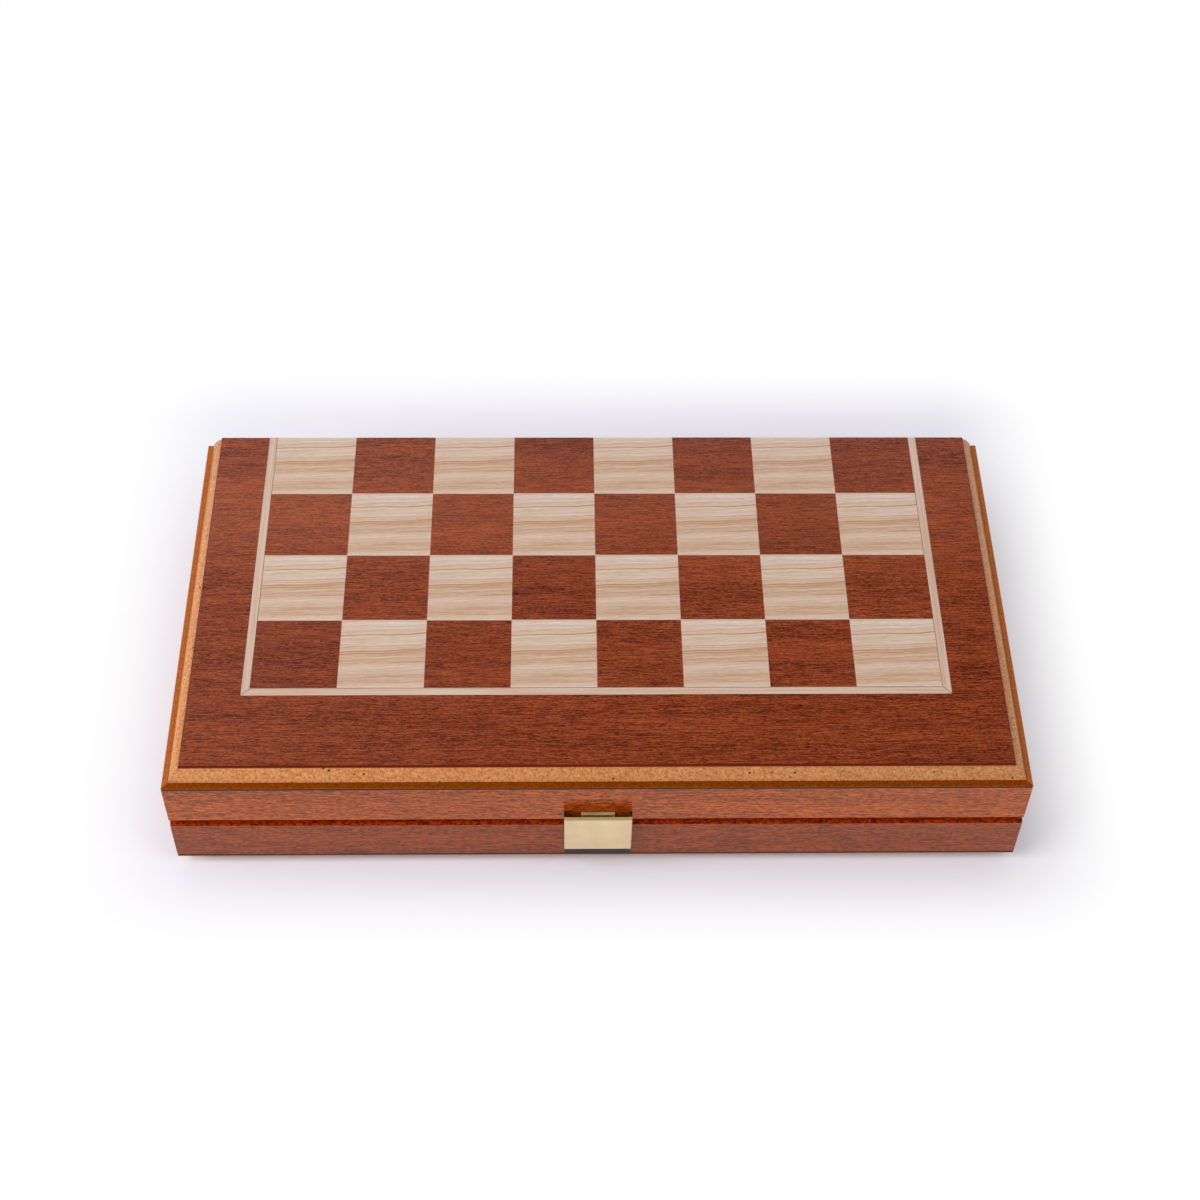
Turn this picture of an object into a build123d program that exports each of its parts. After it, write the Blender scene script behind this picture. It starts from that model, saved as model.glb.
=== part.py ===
from build123d import *
import os

# Folding chess and backgammon case, in millimetres, +Z up.
# Two equal trays are hinged along the back edge. Closed, the chess board is half on the top and half
# underneath. Opened flat, the insides of the two trays are the backgammon board.
# The origin is the middle of the underside of the closed case. The front, with the latch, faces -Y.

# Chess board: the saw that parts the halves takes saw_loss off the row at the hinge
square = 39.0
columns = 8
rows = 4
saw_loss = 1.9
trim_width = 3.7

# Border between the trim and the rim
side_border = 23.8
front_border = 38.5

# Routed rim of a panel: a small step, a shallow ovolo below it, then a narrow flat ledge
quirk_depth = 1.2
ovolo_width = 4.6
ovolo_drop = 4.7
ovolo_radius = 7.0
ledge_width = 2.8
ledge_round = 0.6

# Case
half_height = 33.5
rail_thickness = 11.0
panel_thickness = 6.6
veneer_thickness = 0.6

# Finger groove along the front of the joint: a wide chamfer on each half
groove_depth = 2.4

# Broken edges of the veneer, rails and panels
veneer_chamfer = 0.4
joint_chamfer = 0.7
back_chamfer = 0.4
inner_round = 0.8
glue_chamfer = 0.5

# Backgammon points, half of them at each end of a tray
points_per_end = 6
point_length = 148.0
point_gap = 2.0

# Hinges
hinge_length = 32.0
hinge_inset = 80.0
leaf_reach = 9.0
leaf_thickness = 1.0
hinge_pin_radius = 0.8
hinge_pin_clearance = 0.05
knuckle_gap = 0.2
back_gap = 0.3
mortise_clearance = 0.1
leaf_screw_spacing = 18.0

# Countersunk screws, their threads left as a plain eight-sided shank
screw_shank_radius = 0.9
screw_length = 7.0
shank_sides = 8
slot_width = 0.5
slot_depth = 0.35

# Latch flap, hinged on the base and closing over the strike on the lid
flap_width = 30.2
flap_above_joint = 9.0
flap_below_joint = 14.4
flap_proud = 5.2
flap_thickness = 1.7
flap_bend_round = 0.7
flap_inner_round = 0.6
cheek_thickness = 0.9
wall_clearance = 0.3
pivot_drop = 2.7
pivot_stand_off = 2.2
ear_radius = 1.1
ear_thickness = 0.9
ear_clearance = 0.2
latch_pin_radius = 0.5
latch_pin_clearance = 0.05

# Latch base plate and strike plate
base_plate_inset = 0.2
base_plate_thickness = 0.8
base_plate_joint_gap = 0.7
base_plate_above_ledge = 2.5
plate_corner_round = 1.0
latch_screw_spacing = 17.0
latch_screw_below_joint = 9.0
strike_width = 15.0
strike_thickness = 0.7
strike_lip = 1.4
strike_lip_height = 0.6
strike_joint_gap = 0.5
strike_below_flap_top = 1.2
strike_screw_spacing = 9.0
strike_screw_radius = 0.6
rib_width = 12.0
rib_height = 1.6
rib_below_lip = 0.6

# Places worked out from the sizes
rim_width = ovolo_width + ledge_width
case_width = columns * square + 2 * (trim_width + side_border + rim_width)
case_depth = rows * square - saw_loss + trim_width + front_border + rim_width
case_height = 2 * half_height
half_width = case_width / 2
half_depth = case_depth / 2
joint_z = half_height
veneer_floor = case_height - veneer_thickness
panel_floor = veneer_floor - panel_thickness
ledge_z = case_height - quirk_depth - ovolo_drop
rail_height = panel_floor - joint_z

veneer_half_width = half_width - rim_width
veneer_front_y = rim_width - half_depth
field_half_width = columns / 2 * square
field_front_y = half_depth + saw_loss - rows * square
trim_front_y = field_front_y - trim_width
trim_half_width = field_half_width + trim_width

tray_half_length = half_width - rail_thickness
tray_half_depth = half_depth - rail_thickness
point_pitch = 2 * tray_half_depth / points_per_end
point_base = point_pitch - point_gap
lining_ceiling = panel_floor - veneer_thickness

hinge_x = half_width - hinge_inset
pin_y = half_depth + back_gap / 2
barrel_radius = hinge_pin_radius + leaf_thickness
knuckle_pitch = hinge_length / 3
knuckle_length = knuckle_pitch - knuckle_gap
leaf_edge_y = pin_y - barrel_radius - knuckle_gap
leaf_back_y = pin_y - leaf_reach
leaf_screw_y = (leaf_edge_y + leaf_back_y) / 2
leaf_screw_head = screw_shank_radius + leaf_thickness

flap_top = joint_z + flap_above_joint
flap_bottom = joint_z - flap_below_joint
cheek_inner = flap_width / 2 - cheek_thickness
pivot_z = flap_bottom - pivot_drop
base_plate_width = flap_width - 2 * base_plate_inset
base_plate_bottom = case_height - ledge_z + base_plate_above_ledge
base_plate_top = joint_z - groove_depth - base_plate_joint_gap
latch_screw_z = joint_z - latch_screw_below_joint
latch_screw_head = screw_shank_radius + base_plate_thickness
strike_top = flap_top - strike_below_flap_top
strike_bottom = joint_z + groove_depth + strike_joint_gap
strike_lip_bottom = strike_top - strike_lip_height
strike_screw_z = (strike_bottom + strike_lip_bottom) / 2
strike_screw_head = strike_screw_radius + strike_thickness
rib_top = strike_lip_bottom - rib_below_lip

# Sides of the case: the direction out of it, how far out the side is, and half its length
up = Vector(0, 0, 1)
front = (Vector(0, -1, 0), half_depth, half_width)
back = (Vector(0, 1, 0), half_depth, half_width)
left = (Vector(-1, 0, 0), half_width, half_depth)
right = (Vector(1, 0, 0), half_width, half_depth)

joint_plane = Plane.XY.offset(joint_z)
front_face = Plane(origin=(0, -half_depth, 0), x_dir=(1, 0, 0), z_dir=(0, -1, 0))
waste = 5.0


def across(side):
    """Plane across one side of the case: x points out from its face, y points up."""
    outward, reach, half_run = side
    return Plane(origin=outward * reach, x_dir=outward, z_dir=outward.cross(up))


def save(piece, name):
    """Label a finished piece and write its file."""
    piece.part.label = name
    export_step(piece.part, f"parts/{name}.step")


def add_mirrored(piece):
    """Add the lower half's copy of an upper piece, mirrored in the joint."""
    mirror(piece.part, about=joint_plane)


os.makedirs("parts", exist_ok=True)


# Panels
with BuildPart() as upper_panel:
    with BuildSketch(Plane.XY.offset(panel_floor)):
        Rectangle(case_width, case_depth)
    extrude(amount=panel_thickness)
    for side in (front, left, right):
        with BuildSketch(across(side)):
            with BuildLine():
                step = Line((-rim_width, case_height), (-rim_width, case_height - quirk_depth))
                ovolo = RadiusArc(step @ 1, (-ledge_width, ledge_z), ovolo_radius)
                ledge = Line(ovolo @ 1, (-ledge_round, ledge_z))
                arris = RadiusArc(ledge @ 1, (0, ledge_z - ledge_round), ledge_round)
                Polyline(arris @ 1, (waste, ledge_z - ledge_round), (waste, case_height), step @ 0)
            make_face()
        extrude(amount=side[2], both=True, mode=Mode.SUBTRACT)
    floor_edges = upper_panel.faces().sort_by(Axis.Z)[0].edges()
    chamfer(floor_edges.sort_by(Axis.Y)[:-1], glue_chamfer)
save(upper_panel, "upper_panel")

with BuildPart() as lower_panel:
    add_mirrored(upper_panel)
save(lower_panel, "lower_panel")


# Upper half of the finger groove, which runs out through the front ends of the side rails
with BuildPart() as finger_groove:
    with BuildSketch(across(front)):
        with BuildLine():
            Polyline(
                (-groove_depth, joint_z),
                (waste, joint_z),
                (waste, joint_z + groove_depth + waste),
                close=True,
            )
        make_face()
    extrude(amount=half_width, both=True)


# Rails, mitred where they meet
def rail_blank(side, joint_arris):
    """Extrude one upper rail's section along its side, mitre both ends and cut the groove."""
    outward, reach, half_run = side
    with BuildPart() as blank:
        with BuildSketch(across(side)) as section:
            with Locations((0, joint_z)):
                Rectangle(rail_thickness, rail_height, align=(Align.MAX, Align.MIN))
            outer_joint_corner = section.vertices().group_by(Axis.Y)[0].sort_by(Axis.X)[-1]
            chamfer(outer_joint_corner, joint_arris)
            outer_glue_corner = section.vertices().group_by(Axis.Y)[-1].sort_by(Axis.X)[-1]
            chamfer(outer_glue_corner, glue_chamfer)
            inner_joint_corner = section.vertices().group_by(Axis.Y)[0].sort_by(Axis.X)[0]
            fillet(inner_joint_corner, inner_round)
        extrude(amount=half_run, both=True)
        along = outward.cross(up)
        for turn in (along, -along):
            mitre = Plane(origin=outward * reach + turn * half_run, z_dir=outward - turn)
            split(bisect_by=mitre, keep=Keep.TOP)
        add(finger_groove.part, mode=Mode.SUBTRACT)
    return blank.part


for side, name in ((left, "left_rail"), (right, "right_rail")):
    with BuildPart() as upper_side_rail:
        add(rail_blank(side, joint_chamfer))
    save(upper_side_rail, f"upper_{name}")
    with BuildPart() as lower_side_rail:
        add_mirrored(upper_side_rail)
    save(lower_side_rail, f"lower_{name}")


# Screw places: the plane's normal points out of the face that the head is flush with
def row_of_screws(plane, spacing, height):
    """Two screw places on a plane, a spacing apart and centred on the plane's x axis."""
    return [plane.shift_origin(plane.from_local_coords((x, height, 0))) for x in (-spacing / 2, spacing / 2)]


upper_leaf_screws = []
for hinge_middle in (-hinge_x, hinge_x):
    for offset in (-leaf_screw_spacing / 2, leaf_screw_spacing / 2):
        place = Plane(origin=(hinge_middle + offset, leaf_screw_y, joint_z), z_dir=(0, 0, -1))
        upper_leaf_screws.append(place)
strike_screws_at = row_of_screws(front_face.offset(strike_thickness), strike_screw_spacing, strike_screw_z)
latch_screws_at = row_of_screws(front_face.offset(base_plate_thickness), latch_screw_spacing, latch_screw_z)


def shanks(places, radius):
    """The shanks of a group of screws, which are also the shape of their holes in the wood."""
    with BuildPart() as group:
        with BuildSketch(*places):
            RegularPolygon(radius, shank_sides)
        extrude(amount=-screw_length)
    return group.part


def screws(places, radius, head_radius):
    """Countersunk screws with a slot, each a solid of its own."""
    with BuildPart() as group:
        add(shanks(places, radius))
        with Locations(*places):
            Cone(radius, head_radius, head_radius - radius, align=(Align.CENTER, Align.CENTER, Align.MAX))
            Box(2 * head_radius, slot_width, 2 * slot_depth, mode=Mode.SUBTRACT)
    return group


# Front rails
with BuildPart() as upper_front_rail:
    add(rail_blank(front, joint_chamfer))
    add(shanks(strike_screws_at, strike_screw_radius), mode=Mode.SUBTRACT)
save(upper_front_rail, "upper_front_rail")

with BuildPart() as lower_front_rail:
    mirror(rail_blank(front, joint_chamfer), about=joint_plane)
    add(shanks(latch_screws_at, screw_shank_radius), mode=Mode.SUBTRACT)
save(lower_front_rail, "lower_front_rail")


# Back rails, with a mortise for each hinge leaf and a round notch for its barrel
with BuildPart() as upper_back_rail:
    add(rail_blank(back, back_chamfer))
    for hinge_middle in (-hinge_x, hinge_x):
        with BuildSketch(joint_plane):
            with Locations((hinge_middle, leaf_back_y - mortise_clearance)):
                mortise_length = hinge_length + 2 * mortise_clearance
                mortise_reach = leaf_reach + mortise_clearance
                Rectangle(mortise_length, mortise_reach, align=(Align.CENTER, Align.MIN))
        extrude(amount=leaf_thickness, mode=Mode.SUBTRACT)
        with BuildSketch(Plane.YZ.offset(hinge_middle)):
            with Locations((pin_y, joint_z)):
                Circle(barrel_radius + knuckle_gap)
        extrude(amount=mortise_length / 2, both=True, mode=Mode.SUBTRACT)
    add(shanks(upper_leaf_screws, screw_shank_radius), mode=Mode.SUBTRACT)
save(upper_back_rail, "upper_back_rail")

with BuildPart() as lower_back_rail:
    add_mirrored(upper_back_rail)
save(lower_back_rail, "lower_back_rail")


# Veneers of the chess faces
with BuildPart() as upper_border_veneer:
    with BuildSketch(Plane.XY.offset(veneer_floor)):
        with Locations((0, veneer_front_y)):
            Rectangle(2 * veneer_half_width, half_depth - veneer_front_y, align=(Align.CENTER, Align.MIN))
        with Locations((0, trim_front_y)):
            inlay_depth = half_depth - trim_front_y
            Rectangle(2 * trim_half_width, inlay_depth, align=(Align.CENTER, Align.MIN), mode=Mode.SUBTRACT)
    extrude(amount=veneer_thickness)
    top_edges = upper_border_veneer.faces().sort_by(Axis.Z)[-1].edges()
    outer_side_edges = top_edges.filter_by(Axis.Y).group_by(lambda edge: abs(edge.center().X))[-1]
    chamfer(outer_side_edges + top_edges.sort_by(Axis.Y)[:1], veneer_chamfer)
save(upper_border_veneer, "upper_border_veneer")

with BuildPart() as lower_border_veneer:
    add_mirrored(upper_border_veneer)
save(lower_border_veneer, "lower_border_veneer")

front_trim_outline = [
    (-trim_half_width, trim_front_y),
    (trim_half_width, trim_front_y),
    (field_half_width, field_front_y),
    (-field_half_width, field_front_y),
]
left_trim_outline = [
    (-trim_half_width, trim_front_y),
    (-field_half_width, field_front_y),
    (-field_half_width, half_depth),
    (-trim_half_width, half_depth),
]
right_trim_outline = [(-x, y) for x, y in left_trim_outline]
trim_outlines = (front_trim_outline, left_trim_outline, right_trim_outline)

for outline, name in zip(trim_outlines, ("front_trim", "left_trim", "right_trim")):
    with BuildPart() as upper_trim:
        with BuildSketch(Plane.XY.offset(veneer_floor)):
            with BuildLine():
                Polyline(*outline, close=True)
            make_face()
        extrude(amount=veneer_thickness)
    save(upper_trim, f"upper_{name}")
    with BuildPart() as lower_trim:
        add_mirrored(upper_trim)
    save(lower_trim, f"lower_{name}")


def chess_squares(parity):
    """Every other square of the upper face, starting with the hinge row's left one where parity is 0."""
    with BuildPart() as group:
        for row in range(rows):
            far_y = half_depth + saw_loss - row * square
            depth = square
            if row == 0:
                far_y = half_depth
                depth = square - saw_loss
            for column in range(columns):
                if (row + column) % 2 == parity:
                    left_x = column * square - field_half_width
                    with BuildSketch(Plane.XY.offset(veneer_floor)):
                        with Locations((left_x, far_y)):
                            Rectangle(square, depth, align=(Align.MIN, Align.MAX))
        extrude(amount=veneer_thickness)
    return group


# The colours alternate across the hinge too, so the lower face has its light squares where the upper
# face has its dark ones
even_squares = chess_squares(0)
odd_squares = chess_squares(1)
save(even_squares, "upper_light_squares")
save(odd_squares, "upper_dark_squares")

with BuildPart() as lower_dark_squares:
    add_mirrored(even_squares)
save(lower_dark_squares, "lower_dark_squares")

with BuildPart() as lower_light_squares:
    add_mirrored(odd_squares)
save(lower_light_squares, "lower_light_squares")


# Backgammon points and the veneer round them
def tray_points(parity):
    """Every other point of the upper tray, its tip towards the middle. Facing points differ in wood."""
    with BuildPart() as group:
        with BuildSketch(Plane.XY.offset(lining_ceiling)):
            for end in (-1, 1):
                for place in range(points_per_end):
                    if (place + (end > 0)) % 2 == parity:
                        middle_y = (place + 0.5) * point_pitch - tray_half_depth
                        base_x = end * tray_half_length
                        with BuildLine():
                            Polyline(
                                (base_x, middle_y - point_base / 2),
                                (base_x, middle_y + point_base / 2),
                                (base_x - end * point_length, middle_y),
                                close=True,
                            )
                        make_face()
        extrude(amount=veneer_thickness)
    return group


even_points = tray_points(0)
odd_points = tray_points(1)
save(even_points, "upper_light_points")
save(odd_points, "upper_dark_points")

with BuildPart() as lower_dark_points:
    add_mirrored(even_points)
save(lower_dark_points, "lower_dark_points")

with BuildPart() as lower_light_points:
    add_mirrored(odd_points)
save(lower_light_points, "lower_light_points")

with BuildPart() as upper_field_veneer:
    with BuildSketch(Plane.XY.offset(lining_ceiling)):
        Rectangle(2 * tray_half_length, 2 * tray_half_depth)
    extrude(amount=veneer_thickness)
    add(even_points.part, mode=Mode.SUBTRACT)
    add(odd_points.part, mode=Mode.SUBTRACT)
save(upper_field_veneer, "upper_field_veneer")

with BuildPart() as lower_field_veneer:
    add_mirrored(upper_field_veneer)
save(lower_field_veneer, "lower_field_veneer")


# Hinges: the upper leaf has the middle knuckle, the lower leaf has the outer two
def hinge_leaf(middle, own_knuckles, bore_radius):
    """An upper leaf with its knuckles, screwed up against its rail."""
    with BuildPart() as leaf:
        with BuildSketch(joint_plane):
            with Locations((middle, leaf_edge_y)):
                Rectangle(hinge_length, leaf_edge_y - leaf_back_y, align=(Align.CENTER, Align.MAX))
        extrude(amount=leaf_thickness)
        for knuckle in own_knuckles:
            with BuildSketch(Plane.YZ.offset(middle + knuckle * knuckle_pitch)):
                with Locations((pin_y, joint_z)):
                    Rectangle(pin_y - leaf_back_y, leaf_thickness, align=(Align.MAX, Align.MIN))
                    Circle(barrel_radius)
                    Circle(bore_radius, mode=Mode.SUBTRACT)
            extrude(amount=knuckle_length / 2, both=True)
        own_places = [place for place in upper_leaf_screws if abs(place.origin.X - middle) < hinge_length]
        with Locations(*own_places):
            CounterSinkHole(screw_shank_radius, leaf_screw_head, leaf_thickness, 90)
    return leaf


for hinge_middle, name in ((-hinge_x, "left_hinge"), (hinge_x, "right_hinge")):
    upper_leaf = hinge_leaf(hinge_middle, (0,), hinge_pin_radius + hinge_pin_clearance)
    save(upper_leaf, f"{name}_upper_leaf")
    with BuildPart() as lower_leaf:
        add_mirrored(hinge_leaf(hinge_middle, (-1, 1), hinge_pin_radius))
    save(lower_leaf, f"{name}_lower_leaf")
    with BuildPart() as hinge_pin:
        with BuildSketch(Plane.YZ.offset(hinge_middle)):
            with Locations((pin_y, joint_z)):
                Circle(hinge_pin_radius)
        extrude(amount=knuckle_pitch + knuckle_length / 2, both=True)
    save(hinge_pin, f"{name}_pin")

upper_hinge_screws = screws(upper_leaf_screws, screw_shank_radius, leaf_screw_head)
save(upper_hinge_screws, "upper_hinge_screws")

with BuildPart() as lower_hinge_screws:
    add_mirrored(upper_hinge_screws)
save(lower_hinge_screws, "lower_hinge_screws")


# Latch strike on the lid: a small angle, its lip turned out under the top of the flap
with BuildPart() as latch_strike:
    with BuildSketch(across(front)):
        with BuildLine():
            Polyline(
                (0, strike_bottom),
                (strike_thickness, strike_bottom),
                (strike_thickness, strike_lip_bottom),
                (strike_lip, strike_lip_bottom),
                (strike_lip, strike_top),
                (0, strike_top),
                close=True,
            )
        make_face()
    extrude(amount=strike_width / 2, both=True)
    with Locations(*strike_screws_at):
        CounterSinkHole(strike_screw_radius, strike_screw_head, strike_thickness, 90)
save(latch_strike, "latch_strike")
save(screws(strike_screws_at, strike_screw_radius, strike_screw_head), "latch_strike_screws")


# Latch base plate on the base, with an ear at each end for the pin
with BuildPart() as latch_base_plate:
    with BuildSketch(front_face) as plate_outline:
        with Locations((0, base_plate_bottom)):
            plate_height = base_plate_top - base_plate_bottom
            Rectangle(base_plate_width, plate_height, align=(Align.CENTER, Align.MIN))
        fillet(plate_outline.vertices(), plate_corner_round)
    extrude(amount=base_plate_thickness)
    for end in (-1, 1):
        ear_middle = end * (cheek_inner - ear_clearance - ear_thickness / 2)
        with BuildSketch(across(front).offset(-ear_middle)):
            with Locations((0, pivot_z)):
                Rectangle(pivot_stand_off, 2 * ear_radius, align=(Align.MIN, Align.CENTER))
            with Locations((pivot_stand_off, pivot_z)):
                Circle(ear_radius)
        extrude(amount=ear_thickness / 2, both=True)
    with BuildSketch(across(front)):
        with Locations((pivot_stand_off, pivot_z)):
            Circle(latch_pin_radius)
    extrude(amount=flap_width / 2, both=True, mode=Mode.SUBTRACT)
    with Locations(*latch_screws_at):
        CounterSinkHole(screw_shank_radius, latch_screw_head, base_plate_thickness, 90)
save(latch_base_plate, "latch_base_plate")
save(screws(latch_screws_at, screw_shank_radius, latch_screw_head), "latch_base_screws")

with BuildPart() as latch_pin:
    with BuildSketch(across(front)):
        with Locations((pivot_stand_off, pivot_z)):
            Circle(latch_pin_radius)
    extrude(amount=flap_width / 2, both=True)
save(latch_pin, "latch_pin")


# Latch flap: a face plate with a cheek at each end that reaches back to the wall and down to the pin
with BuildPart() as latch_flap:
    with BuildSketch(across(front)):
        with BuildLine():
            Polyline(
                (wall_clearance, flap_top),
                (flap_proud, flap_top),
                (flap_proud, flap_bottom),
                (pivot_stand_off, pivot_z),
                (pivot_stand_off - ear_radius, pivot_z),
                (pivot_stand_off - ear_radius, base_plate_top + wall_clearance),
                (wall_clearance, base_plate_top + wall_clearance),
                close=True,
            )
        make_face()
        with Locations((pivot_stand_off, pivot_z)):
            Circle(ear_radius)
    extrude(amount=flap_width / 2, both=True)
    face_plate_back = flap_proud - flap_thickness
    with BuildSketch(across(front)):
        with Locations((face_plate_back, flap_top)):
            Rectangle(flap_proud, flap_top, align=(Align.MAX, Align.MAX))
        with Locations((flap_proud, flap_bottom)):
            Rectangle(flap_proud, flap_bottom, align=(Align.MAX, Align.MAX))
    extrude(amount=cheek_inner, both=True, mode=Mode.SUBTRACT)
    with BuildSketch(across(front)):
        with BuildLine():
            Polyline(
                (face_plate_back, rib_top),
                (strike_lip + wall_clearance, rib_top - rib_height / 2),
                (face_plate_back, rib_top - rib_height),
                close=True,
            )
        make_face()
    extrude(amount=rib_width / 2, both=True)
    with BuildSketch(across(front)):
        with Locations((pivot_stand_off, pivot_z)):
            Circle(latch_pin_radius + latch_pin_clearance)
    extrude(amount=flap_width / 2, both=True, mode=Mode.SUBTRACT)
    bends = latch_flap.faces().sort_by(Axis.Y)[0].edges().filter_by(Axis.Z)
    fillet(bends, flap_bend_round)
    cavity_y = -half_depth - face_plate_back
    cavity_edges = latch_flap.edges().filter_by(Axis.Z).filter_by_position(Axis.Y, cavity_y, cavity_y)
    fillet(cavity_edges.group_by(SortBy.LENGTH)[-1], flap_inner_round)
save(latch_flap, "latch_flap")
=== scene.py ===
# %% [markdown]
# Dressing a folding chess and backgammon case
#
# The real case is two shallow trays of varnished mahogany, hinged at the back, with half of a veneered chess
# board on each outer face and backgammon points inside. The CAD frame already holds every piece at its real
# size. This lesson lights it, places the camera above its front, breaks the sharp edges, and then makes each
# finish: solid and sliced mahogany, ash, routed fibreboard, brass and steel.

# %% Load the frame
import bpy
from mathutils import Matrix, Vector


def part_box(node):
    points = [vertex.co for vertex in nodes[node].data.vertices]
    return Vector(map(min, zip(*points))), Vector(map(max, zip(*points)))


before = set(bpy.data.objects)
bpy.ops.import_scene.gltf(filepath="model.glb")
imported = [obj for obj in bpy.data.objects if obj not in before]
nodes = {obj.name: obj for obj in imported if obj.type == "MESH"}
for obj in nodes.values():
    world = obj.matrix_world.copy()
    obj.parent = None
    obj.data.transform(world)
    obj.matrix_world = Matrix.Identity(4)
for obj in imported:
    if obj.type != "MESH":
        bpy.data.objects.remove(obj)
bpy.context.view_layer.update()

# %% [markdown]
# The pieces are looked up by name, and sizes are read from their boxes instead of being typed again. All the
# patterns below are drawn in millimetres, because that is how veneer and saw cuts are measured. One more
# length reaches far beyond the case, for patterns that aren't to start or repeat on it.

# %% Sizes from the frame
import math

import bpy
from mathutils import Quaternion, Vector

mm = 0.001
columns = 8
far_beyond = 1000

panel_low, panel_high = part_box("upper_panel")
veneer_low, veneer_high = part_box("upper_border_veneer")
rail_low, rail_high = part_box("upper_front_rail")
field_low, field_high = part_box("upper_dark_squares")
joint_height = rail_low.z / mm
rail_height = rail_high.z / mm - joint_height
half_height = veneer_high.z / mm - joint_height
case_front = rail_low.y / mm
square = (field_high.x - field_low.x) / columns / mm
field_left = field_low.x / mm
field_right = field_high.x / mm
field_front = field_low.y / mm
print(f"A square is {square:.1f} mm, and the halves meet {joint_height:.1f} mm up")

# %% [markdown]
# Colours are written as sRGB hex, as a colour picker shows them, and the shader wants linear light. One
# function turns the first into the second. A second small function adds a node to a material, sets its
# options and fills its sockets with plain values or with links, which is all that node trees need.

# %% Colours and nodes
def linear(colour):
    """Turn an sRGB hex colour into the linear colour that shaders use."""
    channels = [int(colour[start : start + 2], 16) / 255 for start in (1, 3, 5)]
    return tuple(c / 12.92 if c <= 0.04045 else ((c + 0.055) / 1.055) ** 2.4 for c in channels) + (1.0,)


def add(tree, kind, sockets, **options):
    """Add a node, set its options, and give its sockets values, or links from a node or an output."""
    made = tree.nodes.new("ShaderNode" + kind)
    for option, choice in options.items():
        setattr(made, option, choice)
    for socket, source in sockets.items():
        if isinstance(source, bpy.types.Node):
            source = source.outputs[0]
        if isinstance(source, bpy.types.NodeSocket):
            tree.links.new(source, made.inputs[socket])
        else:
            made.inputs[socket].default_value = source
    return made


white = linear("#ffffff")
print("Middle grey is", round(linear("#808080")[0], 3), "in linear light")

# %% [markdown]
# Most nodes are of a few kinds, and they get short functions of their own: arithmetic on numbers and on
# places, the distance between two values, a ramp from one range to another and a mix of two colours. The
# last two start a material and measure the place on a piece.

# %% Common nodes
def calc(tree, operation, *inputs, **options):
    """Arithmetic on up to three inputs, each of them a number or a link."""
    return add(tree, "Math", dict(enumerate(inputs)), operation=operation, **options)


def vector(tree, operation, *inputs):
    """Arithmetic on all three coordinates of a place at once."""
    return add(tree, "VectorMath", dict(enumerate(inputs)), operation=operation)


def gap(tree, value, middle):
    """How far a value lies from a middle one, to either side."""
    return calc(tree, "ABSOLUTE", calc(tree, "SUBTRACT", value, middle))


def ramp(tree, value, low, high, low_result=0.0, high_result=1.0, interpolation="LINEAR"):
    """Carry a value over from one range to another, and hold it at the ends."""
    sockets = {"Value": value, "From Min": low, "From Max": high}
    sockets |= {"To Min": low_result, "To Max": high_result}
    return add(tree, "MapRange", sockets, interpolation_type=interpolation)


def mix(tree, share, first, second, **options):
    """Mix two colours by a share. Each is sRGB hex, a linear colour or a link."""
    sockets = {0: share, 6: first, 7: second}
    for socket, colour in sockets.items():
        if isinstance(colour, str):
            sockets[socket] = linear(colour)
    return add(tree, "Mix", sockets, data_type="RGBA", **options).outputs[2]


def empty_material(name):
    """A material with nothing in it yet, and its tree."""
    material = bpy.data.materials.new(name)
    material.use_nodes = True
    material.node_tree.nodes.clear()
    return material, material.node_tree


def place_in_mm(tree):
    """The place on the piece in millimetres."""
    on_piece = add(tree, "TexCoord", {})
    return vector(tree, "MULTIPLY", on_piece.outputs["Object"], (1 / mm,) * 3)


print("Places are measured in", mm, "m")

# %% [markdown]
# The view looks down on the front of the case from just left of its middle. The place and the angles come
# from a camera fitted to the corners of the chess squares in the photograph. A camera that tracks a
# direction keeps its horizon level, so the photograph's small roll is added after it.

# %% Camera
camera_place = Vector((-0.0170, -0.61945, 0.8334))
camera_down = math.radians(51.109)
camera_turn = math.radians(1.7485)
camera_roll = math.radians(1.244)
lens_length = 63.57
sensor_width = 36.0

look = Vector((math.sin(camera_turn), math.cos(camera_turn), -math.tan(camera_down)))
camera_data = bpy.data.cameras.new("camera")
camera_data.lens = lens_length
camera_data.sensor_width = sensor_width
camera = bpy.data.objects.new("camera", camera_data)
camera.location = camera_place
camera.rotation_mode = "QUATERNION"
camera.rotation_quaternion = look.to_track_quat("-Z", "Y") @ Quaternion((0, 0, 1), camera_roll)
bpy.context.scene.collection.objects.link(camera)
bpy.context.scene.camera = camera
bpy.context.scene.view_settings.view_transform = "Standard"
print("The camera stands", round(camera_place.length, 2), "m from the case")

# %% [markdown]
# The light is a plain product set: a pale room that lights everything softly, a large soft lamp on the left,
# a low one beside it that brightens the moulding on that side, and a weak one on the right. Together they
# light a level white card to just white, so a colour comes out about as it is written. The lamps are too
# soft to show in the varnish, so mirror rays pass through them. Rays that show the background see it as
# plain white.

# %% Light
room_light = 0.49
key_place = (-1.50, -0.70, 1.50)
key_width = 1.3
key_watts = 25.0
side_place = (-1.60, -0.10, 0.45)
side_width = 0.6
side_watts = 7.0
fill_place = (0.75, -0.55, 1.10)
fill_width = 0.8
fill_watts = 3.2


def soft_lamp(name, place, width, watts):
    """A square soft lamp that faces the case."""
    lamp_data = bpy.data.lights.new(name, "AREA")
    lamp_data.size = width
    lamp_data.energy = watts
    lamp = bpy.data.objects.new(name, lamp_data)
    lamp.location = place
    lamp.rotation_mode = "QUATERNION"
    lamp.rotation_quaternion = (-Vector(place)).to_track_quat("-Z", "Y")
    lamp.visible_glossy = False
    bpy.context.scene.collection.objects.link(lamp)


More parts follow.
